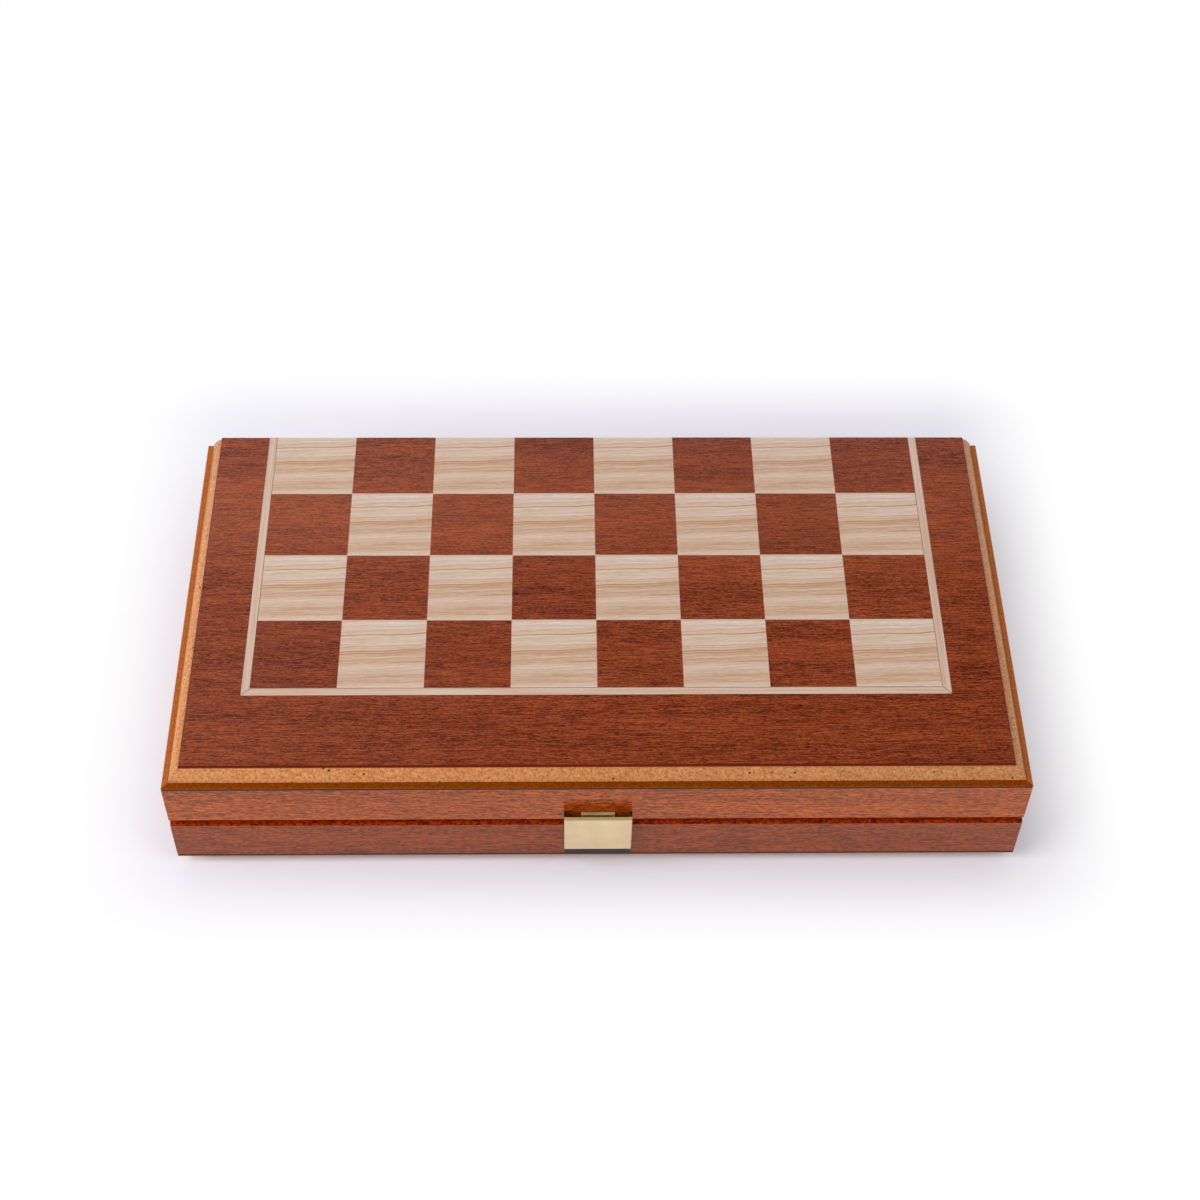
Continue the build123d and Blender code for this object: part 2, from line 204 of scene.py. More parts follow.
def background_ray(tree):
    """One for the rays that show what they hit, also mirrored or through a piece, and else nought."""
    ray = add(tree, "LightPath", {})
    seen_or_mirrored = calc(tree, "MAXIMUM", ray.outputs["Is Camera Ray"], ray.outputs["Is Glossy Ray"])
    return calc(tree, "MAXIMUM", seen_or_mirrored, ray.outputs["Is Transmission Ray"])


soft_lamp("key_lamp", key_place, key_width, key_watts)
soft_lamp("side_lamp", side_place, side_width, side_watts)
soft_lamp("fill_lamp", fill_place, fill_width, fill_watts)

world = bpy.data.worlds.new("pale_room")
bpy.context.scene.world = world
world.use_nodes = True
room = world.node_tree
room.nodes.clear()
room_lighting = add(room, "Background", {"Color": white, "Strength": room_light})
room_seen = add(room, "Background", {"Color": white, "Strength": 1.0})
room_mix = add(room, "MixShader", {0: background_ray(room), 1: room_lighting, 2: room_seen})
add(room, "OutputWorld", {"Surface": room_mix})
print("Room light", room_light, "of white, with three soft lamps")

# %% [markdown]
# Varnish shows what stands over it as much as the wood under it. The studio had a dark ceiling: the flat top
# of the case mirrors that and keeps its full colour, while the walls mirror the white table and look paler.
# The ceiling here is a card that only mirror rays can see, so it takes no light from the case. It is a
# little paler on the left, which gives the top the faint sheen that it has there.

# %% Dark ceiling
ceiling_height = 1.5
ceiling_side = 2.6
ceiling_front = -9.0
ceiling_back = 1.45
dark_from = 0.2
pale_from = -0.9
darkest = 0.03
added_sheen = 0.6


def stage_card(name, low, high, height):
    """A level rectangle that belongs to the set. Its corners are in metres."""
    card_mesh = bpy.data.meshes.new(name)
    corners = [(low[0], low[1]), (high[0], low[1]), (high[0], high[1]), (low[0], high[1])]
    card_mesh.from_pydata([(x, y, height) for x, y in corners], [], [(0, 1, 2, 3)])
    card = bpy.data.objects.new(name, card_mesh)
    bpy.context.scene.collection.objects.link(card)
    return card


ceiling_low = (-ceiling_side, ceiling_front)
ceiling = stage_card("dark_ceiling", ceiling_low, (ceiling_side, ceiling_back), ceiling_height)
ceiling.visible_camera = False
ceiling.visible_diffuse = False
ceiling.visible_transmission = False
ceiling.visible_shadow = False

ceiling_cloth, tree = empty_material("dark_ceiling_cloth")
on_ceiling = add(tree, "TexCoord", {})
apart = add(tree, "SeparateXYZ", {0: on_ceiling.outputs["Object"]})
leftward = ramp(tree, apart.outputs["X"], dark_from, pale_from, interpolation="SMOOTHSTEP")
backward = ramp(tree, apart.outputs["Y"], 0.0, ceiling_back / 2)
sheen = calc(tree, "MULTIPLY", leftward, backward)
sheen = calc(tree, "MULTIPLY_ADD", sheen, added_sheen, darkest)
glow = add(tree, "Emission", {"Color": white, "Strength": sheen})
add(tree, "OutputMaterial", {"Surface": glow})
ceiling.data.materials.append(ceiling_cloth)
print("Ceiling", ceiling_height, "m up")

# %% [markdown]
# The table is pale lavender grey, and the photograph keeps it only near the case: further out it has faded
# to paper white. The fade follows the outline that the case has in the picture, which on the table lies
# further back than its footprint. Only rays that show the table see the fade, so the light that the table
# throws back on the case doesn't change.

# %% Floor
floor_reach = 3.0
hidden_beside = -7.0
hidden_behind = 67.0
fade_length = 48.0
side_fade_length = 66.0
table_colour = "#f4f3fc"

floor = stage_card("floor", (-floor_reach, -floor_reach), (floor_reach, floor_reach), 0)

table, tree = empty_material("pale_table")
centred = vector(tree, "SUBTRACT", place_in_mm(tree), (0, hidden_behind / 2, 0))
folded = vector(tree, "ABSOLUTE", centred)
outline = (panel_high.x / mm + hidden_beside, panel_high.y / mm + hidden_behind / 2, 0)
outside = vector(tree, "SUBTRACT", folded, outline)
outside = vector(tree, "MAXIMUM", outside, (0, 0, 0))
outside = vector(tree, "MULTIPLY", outside, (fade_length / side_fade_length, 1, 1))
distance = vector(tree, "LENGTH", outside).outputs["Value"]
fade = ramp(tree, distance, 0.0, fade_length, interpolation="SMOOTHSTEP")
shown = calc(tree, "MULTIPLY", background_ray(tree), fade)
matt = add(tree, "BsdfDiffuse", {"Color": linear(table_colour)})
paper = add(tree, "Emission", {"Color": white, "Strength": 1.0})
table_mix = add(tree, "MixShader", {0: shown, 1: matt, 2: paper})
add(tree, "OutputMaterial", {"Surface": table_mix})
floor.data.materials.append(table)
print("The table fades out over", fade_length, "mm")

# %% [markdown]
# Nothing that has been sanded and varnished has a knife edge. The frame's faces are first welded together,
# and then a narrow bevel follows every real corner. It catches a thin line of light on the rails and leaves
# a hairline groove round the border and the stringing. The chess squares stay sharp, because welding would
# join diagonal neighbours where their corners touch.

# %% Broken edges
weld_distance = 0.002
bevel_limit = math.radians(35)
rail_edge = 0.25
veneer_edge = 0.06
panel_edge = 0.2
flap_edge = 0.4
strike_edge = 0.12


def break_edges(name, width, segments=2):
    """Weld a node's faces and round its corners by a width in mm."""
    piece = nodes[name]
    weld = piece.modifiers.new("weld", "WELD")
    weld.merge_threshold = weld_distance * mm
    bevel = piece.modifiers.new("broken_edges", "BEVEL")
    bevel.width = width * mm
    bevel.segments = segments
    bevel.limit_method = "ANGLE"
    bevel.angle_limit = bevel_limit
    bevel.harden_normals = True


rails = ("front_rail", "back_rail", "left_rail", "right_rail")
thin_veneers = ("front_trim", "left_trim", "right_trim", "border_veneer")
for half in ("upper", "lower"):
    for name in rails:
        break_edges(f"{half}_{name}", rail_edge)
    for name in thin_veneers:
        break_edges(f"{half}_{name}", veneer_edge, segments=1)
    break_edges(f"{half}_panel", panel_edge)
break_edges("latch_flap", flap_edge)
break_edges("latch_strike", strike_edge)
print("Edges broken on", sum(1 for piece in nodes.values() if piece.modifiers), "pieces")

# %% [markdown]
# Every finish starts in the same way: a material with one principled shader, and the place on the piece in
# millimetres. The nodes' own coordinates are the case's, so neighbouring pieces share one grain until a
# material shifts it, and the figure stays on its piece when the lid turns. Grain is noise drawn out along
# the wood. Below, a pair for streaks is their length and width, a pair for a wave is its length and how far
# it sways, and a pair for a contrast is the noise where a share starts and where it is full.

# %% A material and its grain
grain_roughness = 0.55


def new_finish(name):
    """An empty material, its tree, its principled shader, and the place on the piece in millimetres."""
    finish, tree = empty_material(name)
    shader = add(tree, "BsdfPrincipled", {})
    add(tree, "OutputMaterial", {"Surface": shader})
    return finish, tree, shader, place_in_mm(tree)


def grain(tree, place, length, width, along, detail=2.0):
    """Noise drawn out along the grain. Length and width are those of one streak, in millimetres."""
    streak = (length, width, width) if along == "X" else (width, length, width)
    drawn = vector(tree, "DIVIDE", place, streak)
    sockets = {"Vector": drawn, "Scale": 1.0, "Detail": detail, "Roughness": grain_roughness}
    return add(tree, "TexNoise", sockets)


def wander(tree, place, length, amount):
    """Move places by a slow noise, so that straight lines wander as real grain does."""
    slow = add(tree, "TexNoise", {"Vector": place, "Scale": 1 / length, "Detail": 1.0})
    centred = vector(tree, "SUBTRACT", slow.outputs["Color"], (0.5, 0.5, 0.5))
    scaled = vector(tree, "MULTIPLY", centred, (amount,) * 3)
    return vector(tree, "ADD", place, scaled)


print("Finishes start from a shader and a place in mm")

# %% [markdown]
# Mahogany. The eye gets four things from it: broad soft bands of purple and orange brown, fine silky fibres,
# short wavy flecks where the grain dips in and out of the surface, and thin dark dashes, which are the open
# pores cut along their length, closer together in the dark bands. They are all in one piece of wood, so they
# are mixed in that order. Real fibres are thinner than a dot of the picture, so they are drawn as wide as
# they need to show. A clear varnish lies over them, follows them a little and mirrors softly.

# %% Mahogany figure
slow_wave = (45, 3)
small_wave = (5, 1.0)
band_size = (260, 9)
fibre_length = 14
fibre_width = 0.8
fleck_length = 3.5
pore_length = 3.5
pore_width = 0.7
band_contrast = (0.35, 0.65)
streak_contrast = (0.42, 0.58)
pore_contrast = (0.46, 0.54)
band_share = 0.17
fewer_in_light_bands = -0.3
pore_darkness = 0.7

varnish_bump = 0.10
varnish_depth = 0.05
varnish_ior = 1.45
gloss = 0.16
satin = 0.25


def mahogany_figure(tree, place, along, woods, width, fleck_share):
    """The colour of mahogany and the height of its surface, from the width of a streak in millimetres."""
    light_wood, dark_wood, pore_wood = woods
    wavy = wander(tree, place, *slow_wave)
    ruffled = wander(tree, wavy, *small_wave)
    bands = grain(tree, wavy, *band_size, along)
    fibres = grain(tree, wavy, fibre_length, fibre_width * width, along, detail=1.0)
    flecks = grain(tree, ruffled, fleck_length * width, width, along, detail=1.0)
    pores = grain(tree, ruffled, pore_length, pore_width * width, along, detail=0.0)
    band_part = ramp(tree, bands, *band_contrast)
    fibre_part = ramp(tree, fibres, *streak_contrast)
    fleck_part = ramp(tree, flecks, *streak_contrast)
    clustered = calc(tree, "MULTIPLY_ADD", bands, fewer_in_light_bands, pores)
    pore_part = ramp(tree, clustered, *pore_contrast)

    body = calc(tree, "MULTIPLY", band_part, band_share)
    body = calc(tree, "MULTIPLY_ADD", fleck_part, fleck_share, body)
    body = calc(tree, "MULTIPLY_ADD", fibre_part, 1 - band_share - fleck_share, body)
    wood = mix(tree, body, dark_wood, light_wood)
    colour = mix(tree, calc(tree, "MULTIPLY", pore_part, pore_darkness), wood, pore_wood)
    height = calc(tree, "MULTIPLY_ADD", pore_part, -1.0, fibre_part)
    return colour, height


def varnish(tree, shader, colour, height, roughness):
    """Lay a clear varnish over a colour: it follows the surface a little and mirrors softly."""
    bump = add(tree, "Bump", {"Strength": varnish_bump, "Distance": varnish_depth * mm, "Height": height})
    tree.links.new(colour, shader.inputs["Base Color"])
    tree.links.new(bump.outputs[0], shader.inputs["Normal"])
    shader.inputs["Roughness"].default_value = roughness
    shader.inputs["IOR"].default_value = varnish_ior


print("Mahogany drawn from bands, fibres, flecks and pores")

# %% [markdown]
# Rails. These are solid mahogany, so their figure is coarser than the veneer's. The silky fibres under the
# gloss varnish mirror the pale table in orange, so the mirror light has a warm tint. Where the rails mirror
# something dark, as above the latch, only the deep red of the wood is left. The finger groove along the
# front is such a place too: its wood is mottled and stained, with painted shade darkest in the corner, and
# its stain ends in a ragged line. A thin grey line of glue shows where the panel is fixed on.

# %% Rails
rail_streak = 0.75
rail_flecks = 0.45
rail_ior = 1.55
rail_specular = 0.65
fibre_gloss = "#ffbc74"
glue_width = 0.55
glue_grey = "#4c423d"
groove_height = 2.4
groove_deep = "#5a0800"
groove_bright = "#b83a00"
groove_mottle = (1.6, 0.9)
mottle_contrast = (0.4, 0.6)
painted_corner_light = 0.3
ragged_edge = 1.2
stain_fade = 0.2
stain_behind = 0.05


def from_the_joint(tree, place):
    """The three coordinates, and the distance from the joint, which is the same for both halves."""
    apart = add(tree, "SeparateXYZ", {0: place})
    return apart, gap(tree, apart.outputs["Z"], joint_height)


def rail_mahogany(name, along, woods):
    """Solid varnished mahogany with the stained finger groove, painted shade in its corner, and the glue
    line.
    """
    finish, tree, shader, place = new_finish(name)
    colour, height = mahogany_figure(tree, place, along, woods, rail_streak, rail_flecks)
    apart, above_joint = from_the_joint(tree, place)

    mottle = grain(tree, place, *groove_mottle, "X", detail=3.0)
    mottle_part = ramp(tree, mottle, *mottle_contrast)
    # Painted shade: the groove's colour is darkest in the corner at the joint and lightens up the groove.
    painted_light_rise = (1 - painted_corner_light) / groove_height
    painted_groove_light = calc(tree, "MULTIPLY_ADD", above_joint, painted_light_rise, painted_corner_light)
    stain_and_painted_shade = calc(tree, "MULTIPLY", mottle_part, painted_groove_light)
    stained = mix(tree, stain_and_painted_shade, groove_deep, groove_bright)
    ragged = calc(tree, "MULTIPLY_ADD", mottle, ragged_edge, above_joint)
    stain_top = groove_height + ragged_edge / 2
    in_height = ramp(tree, ragged, stain_top, stain_top - stain_fade)
    stain_back = case_front + groove_height + stain_behind
    in_depth = calc(tree, "LESS_THAN", apart.outputs["Y"], stain_back)
    colour = mix(tree, calc(tree, "MULTIPLY", in_height, in_depth), colour, stained)

    in_glue = calc(tree, "GREATER_THAN", above_joint, rail_height - glue_width)
    colour = mix(tree, in_glue, colour, glue_grey)
    varnish(tree, shader, colour, height, gloss)
    shader.inputs["IOR"].default_value = rail_ior
    shader.inputs["Specular IOR Level"].default_value = rail_specular
    shader.inputs["Specular Tint"].default_value = linear(fibre_gloss)
    return finish


upper_woods = ("#cc6022", "#671100", "#480700")
lower_woods = ("#ac481e", "#551103", "#380a02")
rail_upper = rail_mahogany("upper_rail_mahogany", "X", upper_woods)
rail_lower = rail_mahogany("lower_rail_mahogany", "X", lower_woods)
side_upper = rail_mahogany("upper_side_mahogany", "Y", upper_woods)
side_lower = rail_mahogany("lower_side_mahogany", "Y", lower_woods)
print("The groove is stained", groove_height, "mm up each rail")

# %% [markdown]
# Sliced mahogany. The border is one sheet with its grain along the case. Its rounded outer edge is darker,
# partly a deeper stain and partly painted shade. The dark squares are cut from other leaves of veneer: each
# gets its own piece of the figure and its own depth of colour, and a hairline of pale filler shows at its
# front and back edges. A wide band near the hinges has a painted sheen, palest at the left, for the light
# that the fibres throw back.

# %% Sliced mahogany
veneer_streak = 0.46
veneer_flecks = 0.36
edge_stain_and_shade = "#6a1c04"
edge_stain_and_shade_width = 0.6
leaf_shift = 400
deeper_leaf = "#60210f"
deepest = 0.28
filler = "#c9ab94"
filler_width = 0.3
filler_share = 0.6
painted_fibre_sheen = "#4c2b1c"
sheen_band_middle = 50.0
sheen_band_reach = 50.0
sheen_band_at_right = 0.5


def add_painted_fibre_sheen(tree, place, colour):
    """Add a painted sheen, the pale gleam of the fibres, to a colour."""
    apart = add(tree, "SeparateXYZ", {0: place})
    off_band = gap(tree, apart.outputs["Y"], sheen_band_middle)
    in_band = ramp(tree, off_band, sheen_band_reach, 0.0, interpolation="SMOOTHSTEP")
    leftward = ramp(tree, apart.outputs["X"], field_right, field_left, sheen_band_at_right)
    strength = calc(tree, "MULTIPLY", in_band, leftward)
    # Painted sheen: a pale colour is added in a band near the hinges, strongest at the left.
    return mix(tree, strength, colour, painted_fibre_sheen, blend_type="ADD")


def border_mahogany(name, woods):
    """The border's veneer, darker at its rounded outer edge with deeper stain and painted shade."""
    finish, tree, shader, place = new_finish(name)
    colour, height = mahogany_figure(tree, place, "X", woods, veneer_streak, veneer_flecks)
    colour = add_painted_fibre_sheen(tree, place, colour)
    apart = add(tree, "SeparateXYZ", {0: place})
    aside = calc(tree, "ABSOLUTE", apart.outputs["X"])
    past_side = calc(tree, "GREATER_THAN", aside, veneer_high.x / mm - edge_stain_and_shade_width)
    past_front = calc(tree, "LESS_THAN", apart.outputs["Y"], veneer_low.y / mm + edge_stain_and_shade_width)
    at_edge = calc(tree, "MAXIMUM", past_side, past_front)
    # Deeper stain and painted shade along the rounded outer edge.
    colour = mix(tree, at_edge, colour, edge_stain_and_shade)
    varnish(tree, shader, colour, height, gloss)
    return finish


def square_mahogany(name, woods):
    """Dark squares, each with its own figure and depth of colour."""
    finish, tree, shader, place = new_finish(name)
    on_board = vector(tree, "SUBTRACT", place, (field_left, field_front, 0))
    cell = vector(tree, "DIVIDE", on_board, (square, square, 2 * half_height))
    cell = vector(tree, "FLOOR", cell)
    own = add(tree, "TexWhiteNoise", {"Vector": cell}, noise_dimensions="3D")
    shift = vector(tree, "MULTIPLY", own.outputs["Color"], (leaf_shift,) * 3)
    shifted = vector(tree, "ADD", place, shift)
    colour, height = mahogany_figure(tree, shifted, "X", woods, veneer_streak, veneer_flecks)
    depth = calc(tree, "MULTIPLY", own.outputs["Value"], deepest)
    colour = mix(tree, depth, colour, deeper_leaf)
    colour = add_painted_fibre_sheen(tree, place, colour)

    apart = add(tree, "SeparateXYZ", {0: on_board})
    across = calc(tree, "FLOORED_MODULO", apart.outputs["Y"], square)
    off_middle = gap(tree, across, square / 2)
    at_edge = calc(tree, "GREATER_THAN", off_middle, square / 2 - filler_width)
    colour = mix(tree, calc(tree, "MULTIPLY", at_edge, filler_share), colour, filler)
    varnish(tree, shader, colour, height, gloss)
    return finish


border_veneer = border_mahogany("border_mahogany", ("#ac512b", "#501707", "#3a1008"))
dark_squares = square_mahogany("mahogany_squares", ("#b05530", "#541b0c", "#3c1108"))
print("Squares of sliced mahogany are", round(square, 1), "mm wide")

# %% [markdown]
# Ash. The pale squares are all sliced one after another from the same block, so each shows the same figure.
# It is made of soft growth lines, each at its own height in the square, with streaks of almost white wood
# between them and a broad golden band below the middle. The strongest line rises a little to the right. Over
# them lie many fine lines, thinner than those that a dot of the picture can show, so they are drawn wider.
# Where the squares meet the stringing a thin brown line of glue shows. Each line and streak is given by its
# middle, its half width and its strength.

# %% Ash
growth_lines = ((20.8, 0.6, 1.0), (30.0, 0.7, 0.6), (15.4, 1.4, 0.5), (19.6, 1.5, 0.5), (23.2, 0.7, 0.3))
growth_lines += ((17.4, 7.0, 0.27), (13.6, 1.2, 0.4), (5.0, 4.4, 0.3), (2.4, 1.0, 0.3), (32.2, 0.8, 0.25))
white_streaks = ((37.0, 2.2, 0.9), (28.9, 1.0, 0.8), (25.8, 1.2, 0.6), (34.6, 3.5, 0.5), (18.2, 0.7, 0.3))
white_streaks += ((11.8, 1.6, 0.35), (0.8, 0.9, 0.8))
line_rise = 0.04
ash_wave = (18, 2.0)
ash_ruffle = (6, 0.6)
fine_lines = (40, 0.42)
short_dashes = (5, 0.5)
line_contrast = (0.38, 0.62)
fine_warmth = 0.36
dash_warmth = 0.2
growth_warmth = 0.85
growth_least = 0.7
growth_spread = 0.6
glue_brown = "#94694a"
glue_line = 0.35
glue_share = 0.8


def streaks_across(tree, height, streaks):
    """Soft lines at set heights of a square, and the strongest of them where they overlap."""
    strongest = 0.0
    for middle, half_width, strength in streaks:
        off_line = gap(tree, height, middle)
        line = ramp(tree, off_line, 0.0, half_width, strength, 0.0, interpolation="SMOOTHSTEP")
        strongest = calc(tree, "MAXIMUM", line, strongest)
    return strongest


def sliced_ash(name, body, pale, golden):
    """Ash squares that repeat one figure, with glue lines round the field."""
    finish, tree, shader, place = new_finish(name)
    on_board = vector(tree, "SUBTRACT", place, (field_left, field_front, 0))
    on_square = vector(tree, "MODULO", on_board, (square, square, far_beyond))
    apart = add(tree, "SeparateXYZ", {0: wander(tree, on_square, *ash_wave)})
    rising = calc(tree, "MULTIPLY_ADD", apart.outputs["X"], -line_rise, apart.outputs["Y"])
    growth = streaks_across(tree, rising, growth_lines)
    paleness = streaks_across(tree, apart.outputs["Y"], white_streaks)
    leaning = add(tree, "CombineXYZ", {"X": apart.outputs["X"], "Y": rising})
    fine = grain(tree, leaning, *fine_lines, "X", detail=1.0)
    dashes = grain(tree, wander(tree, place, *ash_ruffle), *short_dashes, "X", detail=1.0)
    fine_part = ramp(tree, fine, *line_contrast)
    dash_part = ramp(tree, dashes, *line_contrast)

    warmth = calc(tree, "MULTIPLY", fine_part, fine_warmth)
    warmth = calc(tree, "MULTIPLY_ADD", dash_part, dash_warmth, warmth)
    uneven = calc(tree, "MULTIPLY_ADD", fine_part, growth_spread, growth_least)
    growth = calc(tree, "MULTIPLY", growth, uneven)
    warmth = calc(tree, "MULTIPLY_ADD", growth, growth_warmth, warmth, use_clamp=True)
    wood = mix(tree, paleness, body, pale)
    colour = mix(tree, warmth, wood, golden)

    edges = add(tree, "SeparateXYZ", {0: on_board})
    middle = (field_right - field_left) / 2
    off_middle = gap(tree, edges.outputs["X"], middle)
    at_side = calc(tree, "GREATER_THAN", off_middle, middle - glue_line)
    at_front = calc(tree, "LESS_THAN", edges.outputs["Y"], glue_line)
    at_trim = calc(tree, "MAXIMUM", at_side, at_front)
    colour = mix(tree, calc(tree, "MULTIPLY", at_trim, glue_share), colour, glue_brown)
    varnish(tree, shader, colour, fine_part, satin)
    return finish


ash_squares = sliced_ash("ash_squares", "#dcc3b0", "#e3d6ce", "#b7865e")
print("Ash figure repeats every", round(square, 1), "mm")

# %% [markdown]
# Stringing and points. A strip of stringing is cut along the grain, so its lines run with it. At the front
# corners the strips are mitred, and a thin dark line shows there. The pale points in the trays are the same
# ash, and the dark ones are a stained veneer that is almost black.

# %% Stringing and points
strip_wave = (60, 2)
strip_streaks = (60, 0.8)
strip_contrast = (0.35, 0.7)
mitre_line = 0.2
stringing_woods = ("#d8bfae", "#c7a288")


def plain_veneer(name, along, woods, mitred=False):
    """A quiet varnished veneer: fine streaks along the grain, and the corner mitres of a strip."""
    finish, tree, shader, place = new_finish(name)
    streaks = grain(tree, wander(tree, place, *strip_wave), *strip_streaks, along, detail=3.0)
    part = ramp(tree, streaks, *strip_contrast)
    colour = mix(tree, part, *woods)
    if mitred:
        apart = add(tree, "SeparateXYZ", {0: place})
        past_side = calc(tree, "ABSOLUTE", apart.outputs["X"])
        past_side = calc(tree, "SUBTRACT", past_side, field_right)
        past_front = calc(tree, "SUBTRACT", field_front, apart.outputs["Y"])
        at_mitre = calc(tree, "LESS_THAN", gap(tree, past_side, past_front), mitre_line)
        colour = mix(tree, at_mitre, colour, glue_brown)
    varnish(tree, shader, colour, part, satin)
    return finish


cross_stringing = plain_veneer("ash_stringing_across", "X", stringing_woods, mitred=True)
side_stringing = plain_veneer("ash_stringing_sides", "Y", stringing_woods, mitred=True)
pale_points = plain_veneer("ash_points", "X", ("#dac3b1", "#b58c67"))
dark_points = plain_veneer("black_stained_points", "X", ("#3a2119", "#1c100d"))
print("Stringing and points made")

# %% [markdown]
# Routed fibreboard. The panels are medium density fibreboard, and the router has cut through the veneer into
# it. Under clear varnish it is tan, mottled by its pressed fibres, with fine brown specks and here and there
# a black one. The step under the veneer takes the veneer's dark edge colour, partly stain and partly painted
# shade. The flat ledge at the foot of the moulding is darker and more orange, most of all along the front,
# and on the sides it is paler with a painted sheen of the pale table. Below it is the grey line of glue.

# %% Fibreboard
ledge_below_top = 5.9
ledge_fade = (0.05, 0.3)
step_below_top = 1.2
board_mottle = 1.2
mottle_roughness = 0.7
board_contrast = (0.3, 0.7)
speck_size = 0.7
speck_contrast = (0.6, 0.7)
speck_share = 0.45
black_speck_spacing = 7.0
black_speck_radius = (0.09, 0.06)
board_gloss = 0.35
bare_board = ("#a85e29", "#e29f64")
speck_brown = "#4a2410"
front_ledge_board = ("#5e2300", "#9a4700")
side_ledge_with_painted_sheen = ("#96501f", "#c0703c")
soaked_gloss = "#ff9a30"


def routed_fibreboard(name):
    """Clear varnished fibreboard of both halves: dark ledges, sides with painted sheen, steps with painted
    shade.
    """
    finish, tree, shader, place = new_finish(name)
    apart, above_joint = from_the_joint(tree, place)
    mottle = add(tree, "TexNoise", {"Vector": place, "Scale": 1 / board_mottle, "Detail": 3.0})
    mottle.inputs["Roughness"].default_value = mottle_roughness
    mottle_part = ramp(tree, mottle, *board_contrast)
    specks = add(tree, "TexNoise", {"Vector": place, "Scale": 1 / speck_size, "Detail": 1.0})
    speck_part = ramp(tree, specks, *speck_contrast, high_result=speck_share)
    black_specks = add(tree, "TexVoronoi", {"Vector": place, "Scale": 1 / black_speck_spacing})
    black_part = ramp(tree, black_specks.outputs["Distance"], *black_speck_radius)
    dirt = calc(tree, "MAXIMUM", speck_part, black_part)
    bare = mix(tree, dirt, mix(tree, mottle_part, *bare_board), speck_brown)

    past_side = calc(tree, "ABSOLUTE", apart.outputs["X"])
    past_side = calc(tree, "SUBTRACT", past_side, panel_high.x / mm)
    past_front = calc(tree, "SUBTRACT", panel_low.y / mm, apart.outputs["Y"])
    at_side = calc(tree, "GREATER_THAN", past_side, past_front)
    # Painted sheen: the side ledges get paler colours than the front one.
    front_ledge = mix(tree, mottle_part, *front_ledge_board)
    ledge = mix(tree, at_side, front_ledge, mix(tree, mottle_part, *side_ledge_with_painted_sheen))
    fade_low, fade_high = (half_height - ledge_below_top + height for height in ledge_fade)
    over_ledge = ramp(tree, above_joint, fade_low, fade_high)
    colour = mix(tree, over_ledge, ledge, bare)
    tint = mix(tree, over_ledge, soaked_gloss, white)

    # Stain and painted shade on the step under the veneer.
    in_step = calc(tree, "GREATER_THAN", above_joint, half_height - step_below_top)
    colour = mix(tree, in_step, colour, edge_stain_and_shade)
    in_glue = calc(tree, "LESS_THAN", above_joint, rail_height + glue_width)
    colour = mix(tree, in_glue, colour, glue_grey)
    varnish(tree, shader, colour, mottle_part, board_gloss)
    tree.links.new(tint, shader.inputs["Specular Tint"])
    return finish


fibreboard = routed_fibreboard("routed_fibreboard")
print("The fibreboard's ledge lies", ledge_below_top, "mm below the top")

# %% [markdown]
# Metal. The latch and hinges are stamped brass with a satin lacquer, the plate behind the flap is dark grey
# steel, and the hinge pins are bright steel. Satin brass spreads the light in one direction more than the
# other, because it was brushed, so the bump is drawn out into fine lines. Where the stamping tool has cut
# it, at the flap's top edge and on the strike, the brass is raw, duller and greener. The cut ends of the
# flap's cheeks are painted dark as shade.

# %% Brass and steel
brass_colours = ("#e9d1a9", "#dfc49b")
raw_brass_colours = ("#e8d28e", "#c0a45e")
lacquer = 0.82
bare_brass = 0.5
satin_metal = 0.38
flap_low, flap_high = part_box("latch_flap")
sheet_width = 1.8
cut_depth = 0.3
cut_edge = "#d2ca8e"
painted_cheek_shade = "#2a2620"
cut_metallic = 0.4
brush_lines = (12, 0.12)
brush_bump = 0.05
brush_depth = 0.02
cloud_size = 9.0
cloud_contrast = (0.3, 0.7)


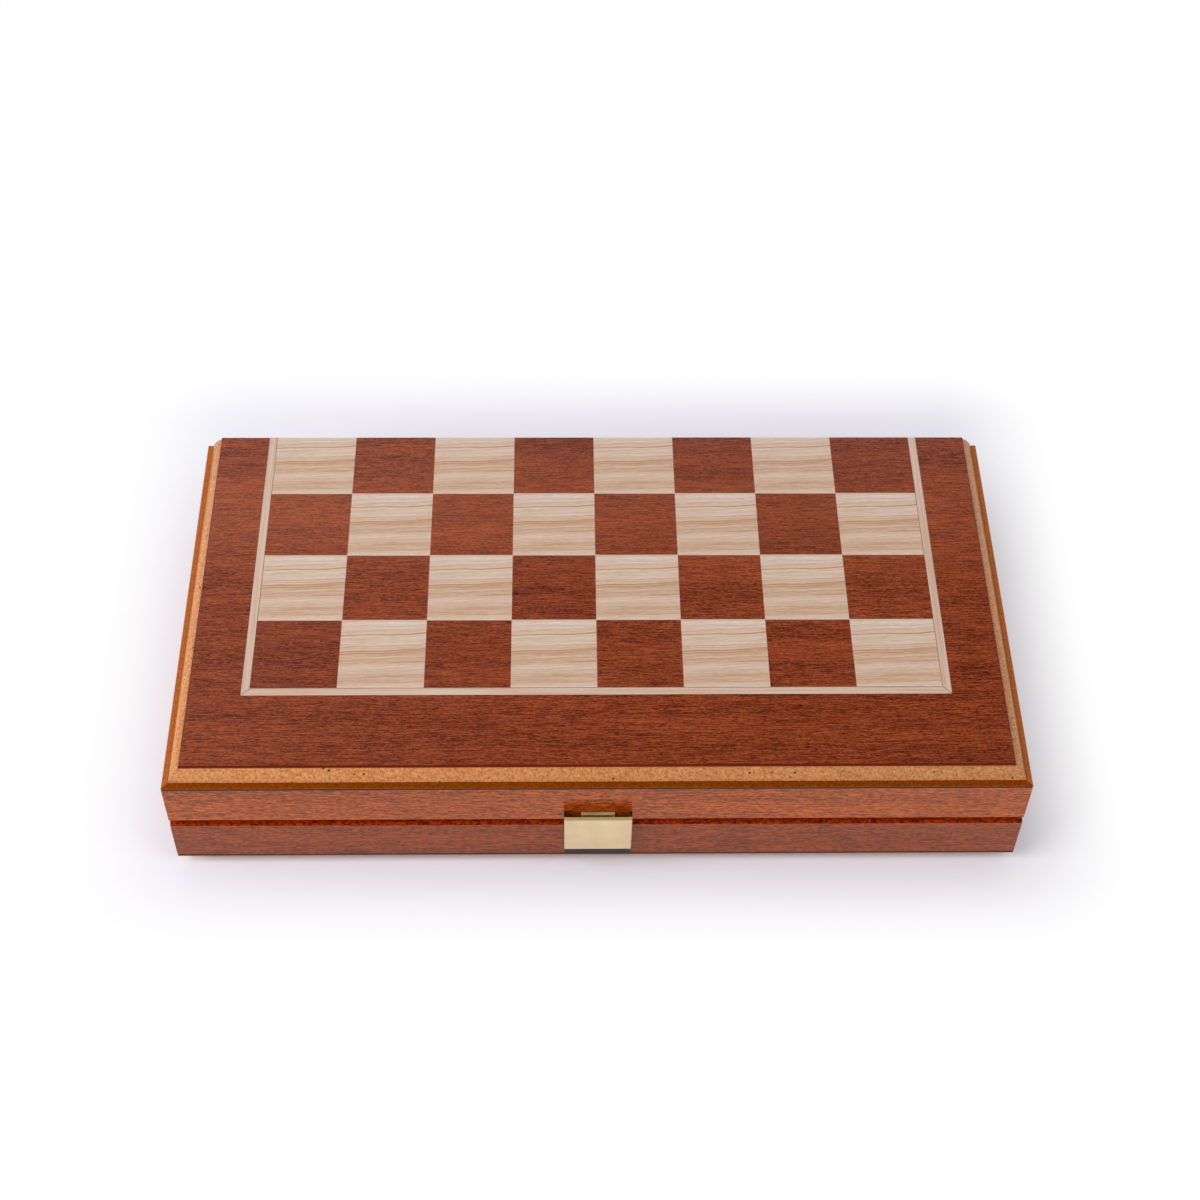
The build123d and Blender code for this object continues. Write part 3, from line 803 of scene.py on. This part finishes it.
def brushed_metal(name, colours, roughness, metallic=1.0, cut_above=far_beyond):
    """Faint brush lines along X, dull where cut above a height in mm, painted shade on cut ends behind."""
    finish, tree, shader, place = new_finish(name)
    bright, shaded = colours
    cloud = add(tree, "TexNoise", {"Vector": place, "Scale": 1 / cloud_size, "Detail": 2.0})
    colour = mix(tree, ramp(tree, cloud, *cloud_contrast), shaded, bright)
    apart = add(tree, "SeparateXYZ", {0: place})
    cut = calc(tree, "GREATER_THAN", apart.outputs["Z"], cut_above)
    # Painted shade: cut ends behind the flap's front sheet are painted dark.
    behind = calc(tree, "GREATER_THAN", apart.outputs["Y"], flap_low.y / mm + sheet_width)
    colour = mix(tree, cut, colour, mix(tree, behind, cut_edge, painted_cheek_shade))
    shine = ramp(tree, cut, 0.0, 1.0, metallic, cut_metallic)
    lines = grain(tree, place, *brush_lines, "X")
    bump = add(tree, "Bump", {"Strength": brush_bump, "Distance": brush_depth * mm, "Height": lines})
    tree.links.new(colour, shader.inputs["Base Color"])
    tree.links.new(bump.outputs[0], shader.inputs["Normal"])
    tree.links.new(shine.outputs[0], shader.inputs["Metallic"])
    shader.inputs["Roughness"].default_value = roughness
    return finish


flap_cut = flap_high.z / mm - cut_depth
satin_brass = brushed_metal("satin_brass", brass_colours, satin_metal, lacquer)
flap_brass = brushed_metal("flap_brass", brass_colours, satin_metal, lacquer, cut_above=flap_cut)
cut_brass = brushed_metal("raw_brass", raw_brass_colours, 0.5, bare_brass)
bright_steel = brushed_metal("bright_steel", ("#b4b4b2", "#a2a3a4"), 0.3)
dark_grey_steel = brushed_metal("dark_grey_steel_finish", ("#4c4947", "#3e3c3a"), 0.45)
print("Brass and steel made")

# %% [markdown]
# Each node gets the finish of its piece. A node keeps its own slot in the record, so only the look changes.

# %% Give every piece its finish
finishes = {
    "left_trim": side_stringing,
    "right_trim": side_stringing,
    "front_trim": cross_stringing,
    "panel": fibreboard,
    "border_veneer": border_veneer,
    "dark_squares": dark_squares,
    "light_squares": ash_squares,
    "field_veneer": border_veneer,
    "light_points": pale_points,
    "dark_points": dark_points,
}
rail_finishes = {
    "upper_front_rail": rail_upper,
    "upper_back_rail": rail_upper,
    "lower_front_rail": rail_lower,
    "lower_back_rail": rail_lower,
    "upper_left_rail": side_upper,
    "upper_right_rail": side_upper,
    "lower_left_rail": side_lower,
    "lower_right_rail": side_lower,
}
metal_finishes = {
    "latch_flap": flap_brass,
    "latch_strike": cut_brass,
    "latch_base_plate": dark_grey_steel,
    "latch_base_screws": dark_grey_steel,
    "left_hinge_pin": bright_steel,
    "right_hinge_pin": bright_steel,
}

for name, piece in nodes.items():
    part_of_half = name.split("_", 1)[1]
    if name in rail_finishes:
        finish = rail_finishes[name]
    elif part_of_half in finishes:
        finish = finishes[part_of_half]
    else:
        finish = metal_finishes.get(name, satin_brass)
    for slot in piece.material_slots:
        slot.material = finish
print("Finishes given to", len(nodes), "nodes")
